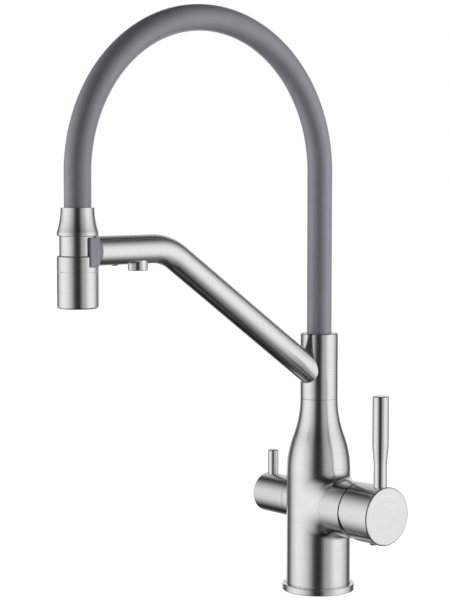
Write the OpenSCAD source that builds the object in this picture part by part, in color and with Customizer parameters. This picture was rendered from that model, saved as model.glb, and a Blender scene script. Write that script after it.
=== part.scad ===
// Three-way kitchen mixer with a filtered-water nozzle and a docked spray on a flexible hose.
// Millimetres. The origin is the centre of the base on the deck, Z is up, the spout points to -Y,
// the mixer handle is on +X and the filter handle on -X.

/* [Body] */
// outside diameter of the round body
body_d = 50; // [48:0.5:54]
// outside diameter of the base ring
ring_d = 56.4; // [54:0.1:62]
// height of the base ring
ring_h = 5.2; // [4:0.1:8]
// diameter of the neck and of the swivel collar
neck_d = 29.4; // [28.5:0.1:32]
// height where the shoulder starts to narrow
shoulder_z = 94; // [92:0.5:99]
// height of the top of the neck
neck_top_z = 150.4; // [148:0.1:153]
// radius of the hollow under the body
base_bore_r = 20; // [18:0.5:21]
// height of the hollow under the body
base_bore_h = 44; // [40:0.5:44]

/* [Mixer handle] */
// height of the axis of both handles
axis_z = 68.5; // [67:0.5:70]
// diameter of the mixer cap
cap_d = 44.4; // [43.5:0.1:47]
// distance from the tap's axis to the end face of the mixer cap
cap_end = 77.3; // [76:0.1:80]
// distance from the tap's axis to the seam between boss and cap
seam_s = 45.7; // [45.2:0.1:46.2]
// gap between the boss and the mixer cap at the height of the axis
cap_gap = 1.7; // [1.4:0.05:2]
// thick diameter of the mixer lever
lever_d = 12.5; // [11:0.1:14]
// thin diameter of the mixer lever at its foot
lever_foot_d = 10; // [8:0.1:10.5]
// distance from the tap's axis to the mixer lever
lever_s = 69.3; // [68.5:0.1:70.5]
// height of the top of the mixer lever
lever_top_z = 158.9; // [140:0.1:175]
// largest tilt of the mixer lever, in degrees
tilt_deg = 15; // [10:1:15]

/* [Filter handle] */
// diameter of the filter cap
filter_cap_d = 31; // [31:0.1:34]
// distance from the tap's axis to the end of the filter cap
filter_cap_end = 61.5; // [60:0.5:66]
// diameter of the filter lever
filter_lever_d = 8.4; // [7:0.1:9]
// distance from the tap's axis to the filter lever
filter_lever_s = 54.8; // [52:0.1:55]
// height of the top of the filter lever
filter_lever_top_z = 103.3; // [95:0.1:125]

/* [Spout] */
// distance from the tap's axis to the axis of the spray head
reach = 225; // [205:1:245]
// height of the collar
collar_h = 50.8; // [49.5:0.1:54]
// outside diameter of the arm
arm_d = 21; // [20:0.5:22]
// height above the collar's foot where the slanted run's axis meets the tap's axis
arm_foot_up = 14.9; // [13.5:0.1:16]
// height of the level run of the arm above that point
arm_rise = 105.8; // [92:0.1:122]
// radius of the bend between the two runs
bend_r = 38; // [34:1:44]
// distance from the end of the arm to the filtered-water nozzle
nozzle_set = 37.5; // [33:0.1:44]
// outside diameter of the filtered-water nozzle
nozzle_d = 14.4; // [12:0.1:14.5]

/* [Hose and spray head] */
// outside diameter of the hose sleeve
hose_d = 19.2; // [18.8:0.1:20]
// height above the collar where the arch of the hose starts
arch_up = 124.4; // [115:0.1:150]
// outside diameter of the spray head
head_d = 29.5; // [29:0.1:30]
// diameter of the neck that the dock clip holds
head_neck_d = 26; // [25.6:0.1:26.2]
// distance that the spray head hangs below the middle of the arm
head_drop = 39.6; // [38.5:0.1:40.5]

/* [Fits] */
// gap round a shaft that turns in its bore
run_gap = 0.05; // [0.02:0.01:0.1]
// gap between other faces that move past each other
free_gap = 0.3; // [0.2:0.05:0.4]
// gap at a seam between two pieces that turn against each other
seam_gap = 0.25; // [0.2:0.05:0.4]
// gap round a piece that is screwed or pressed in
fit_gap = 0.02; // [0.01:0.01:0.04]
// gap round a piece that is slid in and held
slip_gap = 0.05; // [0.03:0.01:0.1]

/* [Hidden] */
$fn = 72;

steel = [0.78, 0.78, 0.77];
brass = [0.80, 0.66, 0.36];
grey = [0.51, 0.54, 0.56];
dark = [0.12, 0.12, 0.13];
white = [0.92, 0.92, 0.90];
plastic = [0.75, 0.76, 0.78];

body_r = body_d / 2;
neck_r = neck_d / 2;
ring_r = ring_d / 2;
// the body's foot stands in a recess of the base ring
foot_z = 2;
foot_wall = 2;
foot_r = base_bore_r + foot_wall;
ring_hole_r = foot_r + 0.1;
ring_edge = 0.6;
gasket_r0 = ring_hole_r + 0.9;
gasket_w = 2.8;
gasket_r1 = gasket_r0 + gasket_w;
gasket_t = 1;
// the S-shaped shoulder is two arcs of one radius that meet halfway, below a short straight land
neck_land = 0.3;
// the upper arc lies this much deeper, so that the two cross cleanly
arc_lap = 0.0005;
shoulder_half = (neck_top_z - neck_land - shoulder_z) / 2;
shoulder_w = (body_r - neck_r) / 2;
shoulder_r = (shoulder_half * shoulder_half + shoulder_w * shoulder_w) / (2 * shoulder_w);

// mixer cartridge, measured along the handle axis from the tap's axis
cap_r = cap_d / 2;
boss_step = 0.4;
boss_r = cap_r - boss_step;
cart_r = 17.5;
cart_bore_r = cart_r + 0.2;
cart_floor = 14;
seal_t = 0.6;
housing_floor = 3.4;
housing_end = 38;
chamber_r = 14.6;
disc_t = 3.5;
moving_disc_r = 9;
moving_disc_t = 3;
carrier_end = 32.6;
turntable_start = carrier_end + free_gap;
turntable_r = chamber_r - run_gap;
turntable_neck_r = 9.5;
nut_t = 3.8;
nut_hole_r = turntable_neck_r + free_gap;
key_hole_r = 1.2;
pivot_s = seam_s + cap_gap;
dome_r = 19;
dome_l = 6;
dome_end = pivot_s + dome_l;
dome_t = 1.4;
cap_hollow_r = dome_r + 2 * free_gap;
cap_hollow_l = 10.8;
cap_hollow_end = pivot_s + cap_hollow_l;
cap_edge = 1.5;
lever_edge = 0.6;
bevel_deg = tilt_deg + 1;
pin_r = 2;
pin_inset = 0.6;
fork_l = 3.6;
spindle_w = 6;
spindle_end = 71;
ball_r = 2.5;
ball_s = 28.5;
ball_arm = pivot_s - ball_s;
// how far the ball end swings across at full tilt
ball_throw = ball_arm * sin(tilt_deg);
// the slot of the turntable below and above the handle axis
slot_down = 4.8;
slot_up = 6.4;
ball_room = 4;
disc_way_drop = 2;
lever_seat_up = 12;
lever_seat_z = axis_z + lever_seat_up;
lever_r = lever_d / 2;
lever_foot_r = lever_foot_d / 2;
taper_up = 39.5;
taper_h = 13;
taper_z0 = axis_z + taper_up;
taper_z1 = taper_z0 + taper_h;
grub_r = 2.5;
grub_s = 62.5;
plug_r = 3;
plug_l = 3;
plug_stand = 1.4;
hex_r = 1.4;
hex_l = 3;

// filter valve, measured along -X from the tap's axis
fcap_r = filter_cap_d / 2;
fboss_end = 26.6;
fcap_start = fboss_end + seam_gap;
fvalve_r = 10.9;
fvalve_bore_r = 11;
fvalve_floor = 13;
fseal_t = 0.5;
fvalve_end = 31;
fchamber_r = 8;
fshaft_r = 4;
fcap_hollow_r = fvalve_r + free_gap;
fcap_hollow_end = fvalve_end + free_gap;
fspindle_w = 5.6;
fspindle_end = 45;
filter_grub_set = 5;
filter_grub_s = fspindle_end - filter_grub_set;
grub_recess = 2;
fcap_edge = 1;
fdisc_t = 4;
fdisc_turn_t = 1.6;
fchamber_l = 8;
disc_gap = 0.15;
flever_r = filter_lever_d / 2;
flever_seat_up = 6;
flever_seat_z = axis_z + flever_seat_up;

// water ways in the body
port_r = 5;
port_depth = 12;
way_r = 3;
filter_way_r = 2;
inlet_x = 7;
inlet_y = 7;
inlet_drop = 5;
outlet_rise = 8;
filter_in = [-7, 5];
filter_out = [-4.6, -3.2];
// the filtered water rises beside the mixed water in the hub
hub_way_r = 1.5;
stud_at = [-9, -9];
stud_r = 4;
neck_bore_r = 11;
neck_bore_z = shoulder_z + 1;

// swivel
collar_r = neck_r;
collar_z = neck_top_z + seam_gap;
spigot_r = 10;
collar_top_z = collar_z + collar_h;
collar_edge = 0.6;
spigot_h = 38.9;
spigot_top_z = neck_top_z + spigot_h;
bush_r = 12;
bush_up = 1.4;
bush_z = collar_z + bush_up;
bush_top_z = spigot_top_z + free_gap;
ring_tube_r = 1.3;
ring_groove_h = 3;
// heights on the hub, above the neck
lower_ring_up = 9.6;
upper_ring_up = 27.6;
groove_up = 16.6;
groove_h = 8;
groove_depth = 2.4;
set_screw_up = 33.6;
lower_ring_z = neck_top_z + lower_ring_up;
upper_ring_z = neck_top_z + upper_ring_up;
groove_z0 = neck_top_z + groove_up;
groove_z1 = groove_z0 + groove_h;
set_screw_z = neck_top_z + set_screw_up;
set_screw_r = 2;
set_groove_depth = 2;
set_hex_r = 1.15;
set_hex_l = 2.4;
sleeve_recess = 4;

// arm
arm_foot_z = collar_z + arm_foot_up;
arm_z = arm_foot_z + arm_rise;
arm_r = arm_d / 2;
arm_bore_r = arm_r - 2;
// the arm ends short of the head's axis by this much, and is hollowed there to fit the dock clip
arm_short = 14;
arm_end_l = reach - arm_short;
arm_start = bush_r + 0.2;
// where the tubes start on the slant, inside the collar
tube_start = 6;
let_in = 0.03;
tube_r = 3.2;
tube_bore_r = 2.2;
nozzle_r = nozzle_d / 2;
nozzle_l = arm_end_l - nozzle_set;
nozzle_drop = 4.5;
nozzle_edge = 0.5;
nozzle_bottom_z = arm_z - arm_r - nozzle_drop;
nozzle_seat_down = 4;
nozzle_top_z = arm_z - nozzle_seat_down;
nozzle_stem_r = 5;
nozzle_stem_up = 8.6;
insert_r = 5.2;
insert_t = 3;
insert_recess = 0.8;
insert_hole_r = 0.9;
insert_ring_r = 3.2;
// the bend ends just before the nozzle, and the slanted run is tangent to it
bend_gap = 5.4;
bend_l = nozzle_l - nozzle_r - bend_gap;
bend_centre_up = arm_z - arm_foot_z - bend_r;
bend_far = sqrt(bend_l * bend_l + bend_centre_up * bend_centre_up);
slant_deg = atan2(bend_centre_up, bend_l) + asin(bend_r / bend_far);
slant_end = sqrt(bend_far * bend_far - bend_r * bend_r);
clip_screw_set = 17;
clip_screw_l = arm_end_l - clip_screw_set;
clip_screw_r = 1.5;
// the screw ends this far below the middle of the arm, short of its hole
clip_screw_low = 2.1;
clip_screw_h = arm_r - clip_screw_low;
clip_screw_stand = 0.35;
clip_screw_head_r = 2.6;
clip_screw_rim_r = 2;

// hose
hose_r = hose_d / 2;
sleeve_bore_r = 7.2;
inner_r = 6.8;
inner_bore_r = 4.6;
nipple_r = 4.5;
arch_r = reach / 2;
arch_z = collar_top_z + arch_up;
sleeve_foot_z = collar_top_z - sleeve_recess;

// spray head
head_r = head_d / 2;
head_neck_r = head_neck_d / 2;
head_bottom_z = arm_z - head_drop;
// heights of the head's steps above its bottom
seam_up = 25.8;
ledge_up = 29;
rim_up = 36.9;
ferrule_up = 50.5;
flare_up = 52.8;
ferrule_top_up = 70.2;
sleeve_seam_z = head_bottom_z + seam_up;
ledge_z = head_bottom_z + ledge_up;
rim_z = head_bottom_z + rim_up;
ferrule_z = head_bottom_z + ferrule_up;
flare_z = head_bottom_z + flare_up;
ferrule_top_z = head_bottom_z + ferrule_top_up;
ferrule_floor = 5;
ferrule_seat_z = ferrule_z + ferrule_floor;
ferrule_top_r = 11.9;
head_edge_r = 1.8;
rim_edge = 0.8;
ferrule_edge = 0.5;
// thread of both hose nipples, and their barbed ends
thread_r = 6;
thread_l = 12;
barb_l = 18;
barb_pitch = 4;
barb_h = 3;
barb_start = 2;
barb_count = 4;
barb_back_r = nipple_r - 0.2;
flange_t = 3;
head_seal_t = 1.6;
head_way_r = 3.2;
// thread of the outlet sleeve on the head
spout_thread_r = 12.4;
spout_thread_l = 12;
valve_r = 8.5;
valve_l = 13.6;
valve_up = 1.8;
valve_mouth_r = 5;
valve_way_r = 2.4;
jet_r = 11;
jet_l = 9;
jet_recess = 0.8;
jet_floor_t = 3;
jet_wall = 1.6;
jet_flange_t = 2.2;
jet_hole_r = 1;
jet_ring_r = 6.6;
jet_inner_ring_r = 3;
// dock clip
clip_r = head_neck_r + free_gap;
clip_z0 = ledge_z + free_gap;
clip_under = 0.8;
clip_z1 = ferrule_z - clip_under;
clip_h = clip_z1 - clip_z0;
clip_wall = 2.1;
clip_band_r = clip_r + clip_wall;
// distance from the head's axis to the flat end of the arm
arm_face = 14.3;
clip_wrap = 0.5;
clip_stub_l = 24;

// helpers along the handle axis
module along_x(r, a, b) {
    translate([a, 0, axis_z])
        rotate([0, 90, 0])
            cylinder(r = r, h = b - a);
}

module bar_x(w, a, b) {
    translate([a, -w / 2, axis_z - w / 2])
        cube([b - a, w, w]);
}

module tube(r, hole_r, z0, z1) {
    difference() {
        translate([0, 0, z0])
            cylinder(r = r, h = z1 - z0);
        translate([0, 0, z0 - 1])
            cylinder(r = hole_r, h = z1 - z0 + 2);
    }
}

// outline of the body from the foot to the top of the neck
module body_outline() {
    mid_z = shoulder_z + shoulder_half;
    translate([0, foot_z])
        square([body_r, shoulder_z - foot_z]);
    translate([0, foot_z])
        square([neck_r, neck_top_z - foot_z]);
    square([foot_r, foot_z + 1]);
    intersection() {
        translate([body_r - shoulder_r, shoulder_z])
            circle(r = shoulder_r, $fn = 200);
        translate([0, shoulder_z])
            square([body_r, shoulder_half + neck_land]);
    }
    difference() {
        translate([0, mid_z])
            square([body_r, shoulder_half]);
        translate([neck_r + shoulder_r, shoulder_z + 2 * shoulder_half])
            circle(r = shoulder_r + arc_lap, $fn = 200);
    }
}

module inlet_way(y) {
    translate([inlet_x, y, base_bore_h - 1])
        cylinder(r = port_r, h = port_depth + 1);
    translate([inlet_x, y, base_bore_h])
        cylinder(r = way_r, h = axis_z - inlet_drop - base_bore_h);
    translate([inlet_x, y, axis_z - inlet_drop])
        rotate([0, 90, 0])
            cylinder(r = way_r, h = cart_floor - inlet_x + 1);
    translate([inlet_x, y, axis_z - inlet_drop])
        sphere(r = way_r);
}

// the cast body with its two bosses and its drilled ways
module body_shell() {
    color(steel)
    difference() {
        union() {
            rotate_extrude()
                body_outline();
            along_x(boss_r, 0, seam_s);
            along_x(fcap_r, -fboss_end, 0);
        }
        translate([0, 0, -1])
            cylinder(r = base_bore_r, h = base_bore_h + 1);
        along_x(cart_bore_r, cart_floor, seam_s + 1);
        along_x(fvalve_bore_r, -fboss_end - 1, -fvalve_floor);
        translate([0, 0, neck_bore_z])
            cylinder(r = neck_bore_r, h = neck_top_z - neck_bore_z + 1);
        inlet_way(inlet_y);
        inlet_way(-inlet_y);
        // mixed water from the cartridge up to the neck
        translate([0, 0, axis_z + outlet_rise])
            rotate([0, 90, 0])
                cylinder(r = way_r, h = cart_floor + 1);
        translate([0, 0, axis_z + outlet_rise])
            cylinder(r = way_r, h = neck_bore_z - axis_z - outlet_rise + 1);
        translate([0, 0, axis_z + outlet_rise])
            sphere(r = way_r);
        // filtered water in and out of the filter valve
        translate([filter_in[0], filter_in[1], base_bore_h - 1])
            cylinder(r = port_r, h = port_depth + 1);
        translate([filter_in[0], filter_in[1], base_bore_h])
            cylinder(r = filter_way_r, h = axis_z - base_bore_h);
        translate([filter_in[0], filter_in[1], axis_z])
            rotate([0, -90, 0])
                cylinder(r = filter_way_r, h = fvalve_floor + filter_in[0] + 1);
        translate([filter_in[0], filter_in[1], axis_z])
            sphere(r = filter_way_r);
        translate([filter_out[0], filter_out[1], axis_z])
            cylinder(r = hub_way_r, h = neck_bore_z - axis_z + 1);
        translate([filter_out[0], filter_out[1], axis_z])
            rotate([0, -90, 0])
                cylinder(r = hub_way_r, h = fvalve_floor + filter_out[0] + 1);
        translate([filter_out[0], filter_out[1], axis_z])
            sphere(r = hub_way_r);
        // the stud that pulls the tap down on the deck
        translate([stud_at[0], stud_at[1], base_bore_h - 1])
            cylinder(r = stud_r, h = port_depth + 1);
    }
}

// ring under the body, with the body's foot in its recess and a gasket groove below
module base_ring() {
    color(steel)
    rotate_extrude()
        difference() {
            union() {
                translate([ring_hole_r, 0])
                    square([ring_r - ring_hole_r - ring_edge, ring_h]);
                translate([ring_hole_r, ring_edge])
                    square([ring_r - ring_hole_r, ring_h - 2 * ring_edge]);
                translate([ring_r - ring_edge, ring_edge])
                    circle(r = ring_edge, $fn = 32);
                translate([ring_r - ring_edge, ring_h - ring_edge])
                    circle(r = ring_edge, $fn = 32);
            }
            translate([ring_hole_r - 1, foot_z])
                square([body_r + free_gap - ring_hole_r + 1, ring_h]);
            translate([gasket_r0, -1])
                square([gasket_r1 - gasket_r0, gasket_t + 1]);
        }
}

module base_gasket() {
    color(dark)
        tube(gasket_r1 - slip_gap, gasket_r0 + slip_gap, 0, gasket_t);
}

// fixed hub on which the spout swivels
module spigot() {
    color(brass)
    difference() {
        union() {
            translate([0, 0, neck_bore_z])
                cylinder(r = neck_bore_r - slip_gap, h = neck_top_z - neck_bore_z);
            translate([0, 0, neck_top_z - 1])
                cylinder(r = spigot_r, h = spigot_top_z - neck_top_z + 1);
        }
        translate([0, 0, neck_bore_z - 1])
            cylinder(r = way_r, h = spigot_top_z - neck_bore_z + 2);
        translate([filter_out[0], filter_out[1], neck_bore_z - 1])
            cylinder(r = hub_way_r, h = groove_z0 + groove_h / 2 + 1 - neck_bore_z);
        translate([filter_out[0], filter_out[1], groove_z0 + groove_h / 2])
            rotate([0, 90, atan2(filter_out[1], filter_out[0])])
                cylinder(r = hub_way_r, h = spigot_r);
        tube(spigot_r + 1, spigot_r - groove_depth, groove_z0, groove_z1);
        for (z = [lower_ring_z, upper_ring_z])
            translate([0, 0, z - ring_groove_h / 2])
                tube(spigot_r + 1, spigot_r - 2.2 * ring_tube_r, 0, ring_groove_h);
        translate([0, 0, set_screw_z - set_screw_r - free_gap])
            tube(spigot_r + 1, spigot_r - set_groove_depth, 0, 2 * set_screw_r + 2 * free_gap);
    }
}

module spigot_o_rings() {
    color(dark)
        for (z = [lower_ring_z, upper_ring_z])
            translate([0, 0, z])
                rotate_extrude()
                    translate([spigot_r - ring_tube_r, 0])
                        circle(r = ring_tube_r, $fn = 32);
}

// slip washer on top of the neck, inside the collar's skirt
module swivel_washer() {
    color(white)
        tube(bush_r - free_gap, spigot_r + run_gap, neck_top_z, bush_z - free_gap);
}

module cartridge_seal() {
    color(dark)
    difference() {
        along_x(cart_r - 1, cart_floor, cart_floor + seal_t);
        cartridge_ports(cart_floor - 1, cart_floor + seal_t + 1, way_r);
    }
}

module cartridge_ports(a, b, r) {
    for (y = [-inlet_y, inlet_y])
        translate([0, y, -inlet_drop])
            along_x(r, a, b);
    translate([0, 0, outlet_rise])
        along_x(r, a, b);
}

module cartridge_housing() {
    color(plastic)
    difference() {
        along_x(cart_r, cart_floor + seal_t, housing_end);
        along_x(chamber_r, cart_floor + seal_t + housing_floor, housing_end + 1);
        cartridge_ports(cart_floor, cart_floor + seal_t + housing_floor + 1, way_r - 0.4);
    }
}

module fixed_disc() {
    disc_s = cart_floor + seal_t + housing_floor;
    color(white)
    difference() {
        along_x(chamber_r - 0.1, disc_s, disc_s + disc_t);
        cartridge_ports(disc_s - 1, disc_s + disc_t + 1, way_r - 0.6);
    }
}

// nut that clamps the cartridge and keeps its turntable in
module cartridge_nut() {
    color(brass)
    difference() {
        along_x(cart_bore_r - slip_gap, housing_end, housing_end + nut_t);
        along_x(nut_hole_r, housing_end - 1, housing_end + nut_t + 1);
        for (a = [0, 120, 240])
            translate([0, 0, axis_z])
                rotate([a, 0, 0])
                    translate([housing_end + nut_t / 2, 0, (cart_bore_r + nut_hole_r) / 2])
                        rotate([0, 90, 0])
                            cylinder(r = key_hole_r, h = nut_t);
    }
}

// round trim between the boss and the tilting cap, with its centre on the tilt axis
module cartridge_dome() {
    color(dark)
    difference() {
        union() {
            along_x(cart_bore_r - slip_gap, housing_end + nut_t, seam_s + 0.1);
            intersection() {
                translate([pivot_s, 0, axis_z])
                    sphere(r = dome_r);
                along_x(dome_r + 1, seam_s, dome_end);
            }
        }
        along_x(cart_bore_r - dome_t, housing_end + nut_t - 1, seam_s);
        intersection() {
            translate([pivot_s, 0, axis_z])
                sphere(r = dome_r - dome_t);
            along_x(dome_r, seam_s - 1, dome_end + 1);
        }
    }
}

module filter_valve_seal() {
    color(dark)
    difference() {
        along_x(fvalve_r - 1, -fvalve_floor - fseal_t, -fvalve_floor);
        filter_ports(-fvalve_floor - fseal_t - 1, -fvalve_floor + 1, filter_way_r);
    }
}

module filter_ports(a, b, r) {
    translate([0, filter_in[1], 0])
        along_x(r, a, b);
    translate([0, filter_out[1], 0])
        along_x(r, a, b);
}

module filter_valve_body() {
    back = fvalve_floor + fseal_t;
    color(brass)
    difference() {
        along_x(fvalve_r, -fvalve_end, -back);
        along_x(fchamber_r, -back - fchamber_l, -back + 1);
        along_x(fshaft_r + run_gap, -fvalve_end - 1, -back - fchamber_l + 1);
    }
}

module filter_fixed_disc() {
    back = fvalve_floor + fseal_t;
    color(white)
    difference() {
        along_x(fchamber_r - 0.1, -back - fdisc_t, -back);
        filter_ports(-back - fdisc_t - 1, -back + 1, filter_way_r - 0.5);
    }
}

module filter_disc() {
    back = fvalve_floor + fseal_t + fdisc_t + disc_gap;
    color(white)
    difference() {
        along_x(fchamber_r - 0.2, -back - fdisc_turn_t, -back);
        translate([0, 0, filter_in[1]])
            along_x(filter_way_r - 0.5, -back - fdisc_turn_t - 1, -back + 1);
    }
}

// stem of the filter valve, square where it drives the cap
module filter_spindle() {
    back = fvalve_floor + fseal_t + fdisc_t + disc_gap + fdisc_turn_t;
    color(brass)
    union() {
        along_x(fchamber_r - 0.2, -fvalve_floor - fseal_t - fchamber_l + disc_gap, -back);
        along_x(fshaft_r, -fvalve_end - 0.2, -back - 0.1);
        bar_x(fspindle_w, -fspindle_end, -fvalve_end);
    }
}

module filter_cap() {
    color(steel)
    difference() {
        translate([-filter_cap_end, 0, axis_z])
            rotate([0, 90, 0])
                rotate_extrude()
                    union() {
                        square([fcap_r - fcap_edge, filter_cap_end - fcap_start]);
                        translate([0, fcap_edge])
                            square([fcap_r, filter_cap_end - fcap_start - fcap_edge]);
                        translate([fcap_r - fcap_edge, fcap_edge])
                            circle(r = fcap_edge, $fn = 32);
                    }
        along_x(fcap_hollow_r, -fcap_hollow_end, -fcap_start + 1);
        bar_x(fspindle_w + 2 * slip_gap, -fspindle_end - 0.5, -fvalve_end);
        translate([-filter_lever_s, 0, flever_seat_z])
            cylinder(r = flever_r + fit_gap, h = fcap_r);
        translate([-filter_grub_s, 0, axis_z - fcap_r - 1])
            cylinder(r = grub_r, h = fcap_r + 1);
    }
}

module filter_grub_screw() {
    color(dark)
    difference() {
        translate([-filter_grub_s, 0, axis_z - fcap_r + grub_recess])
            cylinder(r = grub_r - fit_gap, h = fcap_r - grub_recess - fspindle_w / 2);
        translate([-filter_grub_s, 0, axis_z - fcap_r + grub_recess - 1])
            cylinder(r = hex_r, h = hex_l + 1, $fn = 6);
    }
}

module filter_lever() {
    color(steel)
    union() {
        translate([-filter_lever_s, 0, flever_seat_z])
            cylinder(r = flever_r, h = filter_lever_top_z - flever_seat_z - lever_edge);
        translate([-filter_lever_s, 0, filter_lever_top_z - lever_edge])
            cylinder(r1 = flever_r, r2 = flever_r - lever_edge, h = lever_edge);
    }
}

// part of the cartridge that turns for hot and cold, with the fork for the tilt pin
module cartridge_turntable() {
    color(plastic)
    difference() {
        union() {
            along_x(turntable_r, turntable_start, housing_end - free_gap);
            along_x(turntable_neck_r, turntable_start, pivot_s + fork_l);
        }
        // the slot in which the spindle swings
        translate([turntable_start - 1, -spindle_w / 2 - 0.1, axis_z - slot_down])
            cube([housing_end - turntable_start + 1, spindle_w + 0.2, slot_down + ball_room + ball_throw]);
        translate([housing_end - 2, -spindle_w / 2 - 0.1, axis_z - slot_down - 0.2])
            cube([dome_r, spindle_w + 0.2, slot_down + slot_up + 0.2]);
        translate([pivot_s, 0, axis_z])
            rotate([90, 0, 0])
                cylinder(r = pin_r + fit_gap, h = 2 * dome_r, center = true);
    }
}

module tilt_pin() {
    color(steel)
        translate([pivot_s, 0, axis_z])
            rotate([90, 0, 0])
                cylinder(r = pin_r, h = 2 * (turntable_neck_r - pin_inset), center = true);
}

module moving_disc() {
    disc_s = cart_floor + seal_t + housing_floor + disc_t + disc_gap;
    color(white)
    difference() {
        along_x(moving_disc_r, disc_s, disc_s + moving_disc_t);
        translate([0, 0, -disc_way_drop])
            along_x(way_r, disc_s - 1, disc_s + moving_disc_t / 2);
    }
}

// block between the moving disc and the ball end of the spindle
module disc_carrier() {
    disc_s = cart_floor + seal_t + housing_floor + disc_t + disc_gap + moving_disc_t;
    color(plastic)
    difference() {
        along_x(moving_disc_r, disc_s, carrier_end);
        along_x(ball_r + 0.2, ball_s - ball_r - free_gap, carrier_end + 1);
    }
}

module cartridge_spindle() {
    color(brass)
    difference() {
        union() {
            translate([ball_s, 0, axis_z])
                sphere(r = ball_r);
            along_x(ball_r - 1, ball_s, housing_end);
            bar_x(spindle_w, housing_end - 1, spindle_end);
        }
        translate([pivot_s, 0, axis_z])
            rotate([90, 0, 0])
                cylinder(r = pin_r + run_gap, h = 2 * spindle_w, center = true);
    }
}

// cap over the cartridge, cut on a slant under the tilt axis so that it can tip
module mixer_cap() {
    color(steel)
    difference() {
        translate([pivot_s, 0, axis_z])
            rotate([0, 90, 0])
                rotate_extrude()
                    union() {
                        square([cap_r, cap_end - pivot_s - cap_edge]);
                        square([cap_r - cap_edge, cap_end - pivot_s]);
                        translate([cap_r - cap_edge, cap_end - pivot_s - cap_edge])
                            circle(r = cap_edge, $fn = 32);
                    }
        along_x(cap_hollow_r, pivot_s - 1, cap_hollow_end);
        bar_x(spindle_w + 2 * slip_gap, cap_hollow_end - 1, spindle_end + 0.5);
        translate([pivot_s, 0, axis_z])
            rotate([0, -bevel_deg, 0])
                translate([-cap_d, -cap_d, -2 * cap_d])
                    cube([cap_d, 2 * cap_d, 2 * cap_d]);
        translate([lever_s, 0, lever_seat_z])
            cylinder(r = lever_foot_r + fit_gap, h = cap_r);
        translate([grub_s, 0, axis_z - cap_r - 1])
            cylinder(r = grub_r, h = cap_r + 1);
        translate([grub_s, 0, axis_z - cap_r - 1])
            cylinder(r = plug_r, h = plug_l + 1);
    }
}

module mixer_grub_screw() {
    color(dark)
    difference() {
        translate([grub_s, 0, axis_z - cap_r + 2 * plug_l])
            cylinder(r = grub_r - fit_gap, h = cap_r - 2 * plug_l - spindle_w / 2);
        translate([grub_s, 0, axis_z - cap_r + 2 * plug_l - 1])
            cylinder(r = hex_r, h = hex_l + 1, $fn = 6);
    }
}

// plug that hides the grub screw
module mixer_screw_plug() {
    color(dark)
    union() {
        translate([grub_s, 0, axis_z - cap_r - 0.2])
            cylinder(r = plug_r - fit_gap, h = plug_l + 0.2);
        translate([grub_s, 0, axis_z - cap_r - plug_stand])
            cylinder(r1 = plug_r - 0.6, r2 = plug_r - fit_gap, h = plug_stand - 0.2);
    }
}

module mixer_lever() {
    color(steel)
    union() {
        translate([lever_s, 0, lever_seat_z])
            cylinder(r = lever_foot_r, h = taper_z0 - lever_seat_z);
        translate([lever_s, 0, taper_z0])
            cylinder(r1 = lever_foot_r, r2 = lever_r, h = taper_z1 - taper_z0);
        translate([lever_s, 0, taper_z1])
            cylinder(r = lever_r, h = lever_top_z - taper_z1 - lever_edge);
        translate([lever_s, 0, lever_top_z - lever_edge])
            cylinder(r1 = lever_r, r2 = lever_r - lever_edge, h = lever_edge);
    }
}

// slanted run of the arm, from the tap's axis to the bend
module slant(r, a, b) {
    translate([0, 0, arm_foot_z])
        rotate([90 - slant_deg, 0, 0])
            translate([0, 0, a])
                cylinder(r = r, h = b - a);
}

// tube along the arm: slant, bend and level run, end to end
module arm_tube(r, hole_r, start, end_l) {
    // the slanted run is let into the wall of the bend
    difference() {
        slant(r - let_in, start, slant_end + 0.8);
        slant(hole_r + let_in, start - 1, slant_end + 2);
    }
    translate([0, -bend_l, arm_z - bend_r])
        rotate([0, -90, 0])
            rotate_extrude(angle = slant_deg)
                translate([bend_r, 0])
                    difference() {
                        circle(r = r);
                        circle(r = hole_r);
                    }
    translate([0, -bend_l, arm_z])
        rotate([90, 0, 0])
            tube(r, hole_r, 0, end_l - bend_l);
}

module spout_arm() {
    color(steel)
    difference() {
        arm_tube(arm_r, arm_bore_r, tube_start, arm_end_l);
        translate([0, 0, arm_foot_z])
            cylinder(r = arm_start, h = 4 * arm_d, center = true);
        translate([0, -nozzle_l, arm_z - arm_r - 2])
            cylinder(r = nozzle_r + fit_gap, h = arm_r);
        translate([0, -clip_screw_l, arm_z - arm_r - 2])
            cylinder(r = clip_screw_r + 0.2, h = arm_r);
        translate([-arm_d, -reach - arm_d, arm_z - arm_d])
            cube([2 * arm_d, arm_d + arm_face, 2 * arm_d]);
    }
}

// plastic tube that carries filtered water through the arm
module nozzle_tube() {
    color(white)
    difference() {
        arm_tube(tube_r, tube_bore_r, tube_start, nozzle_l - nozzle_stem_r / 2 - 0.1);
        translate([0, 0, arm_foot_z])
            cylinder(r = bush_r + fit_gap, h = 4 * arm_d, center = true);
    }
}

// outlet of the filtered water under the arm
module filter_nozzle() {
    color(steel)
    translate([0, -nozzle_l, 0])
    difference() {
        union() {
            translate([0, 0, nozzle_bottom_z + nozzle_edge])
                cylinder(r = nozzle_r, h = nozzle_top_z - nozzle_bottom_z - nozzle_edge);
            translate([0, 0, nozzle_bottom_z])
                cylinder(r1 = nozzle_r - nozzle_edge, r2 = nozzle_r, h = nozzle_edge);
            translate([0, 0, nozzle_top_z - 1])
                cylinder(r = nozzle_stem_r, h = nozzle_stem_up + 1);
        }
        translate([0, 0, nozzle_bottom_z - 1])
            cylinder(r = insert_r, h = insert_t + 2);
        translate([0, 0, nozzle_bottom_z])
            cylinder(r = tube_bore_r, h = arm_z - nozzle_bottom_z);
        translate([0, 0, arm_z])
            rotate([-90, 0, 0])
                cylinder(r = tube_bore_r, h = nozzle_d);
        translate([0, nozzle_stem_r / 2, arm_z])
            rotate([-90, 0, 0])
                cylinder(r = tube_r + fit_gap, h = nozzle_d);
    }
}

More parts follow.
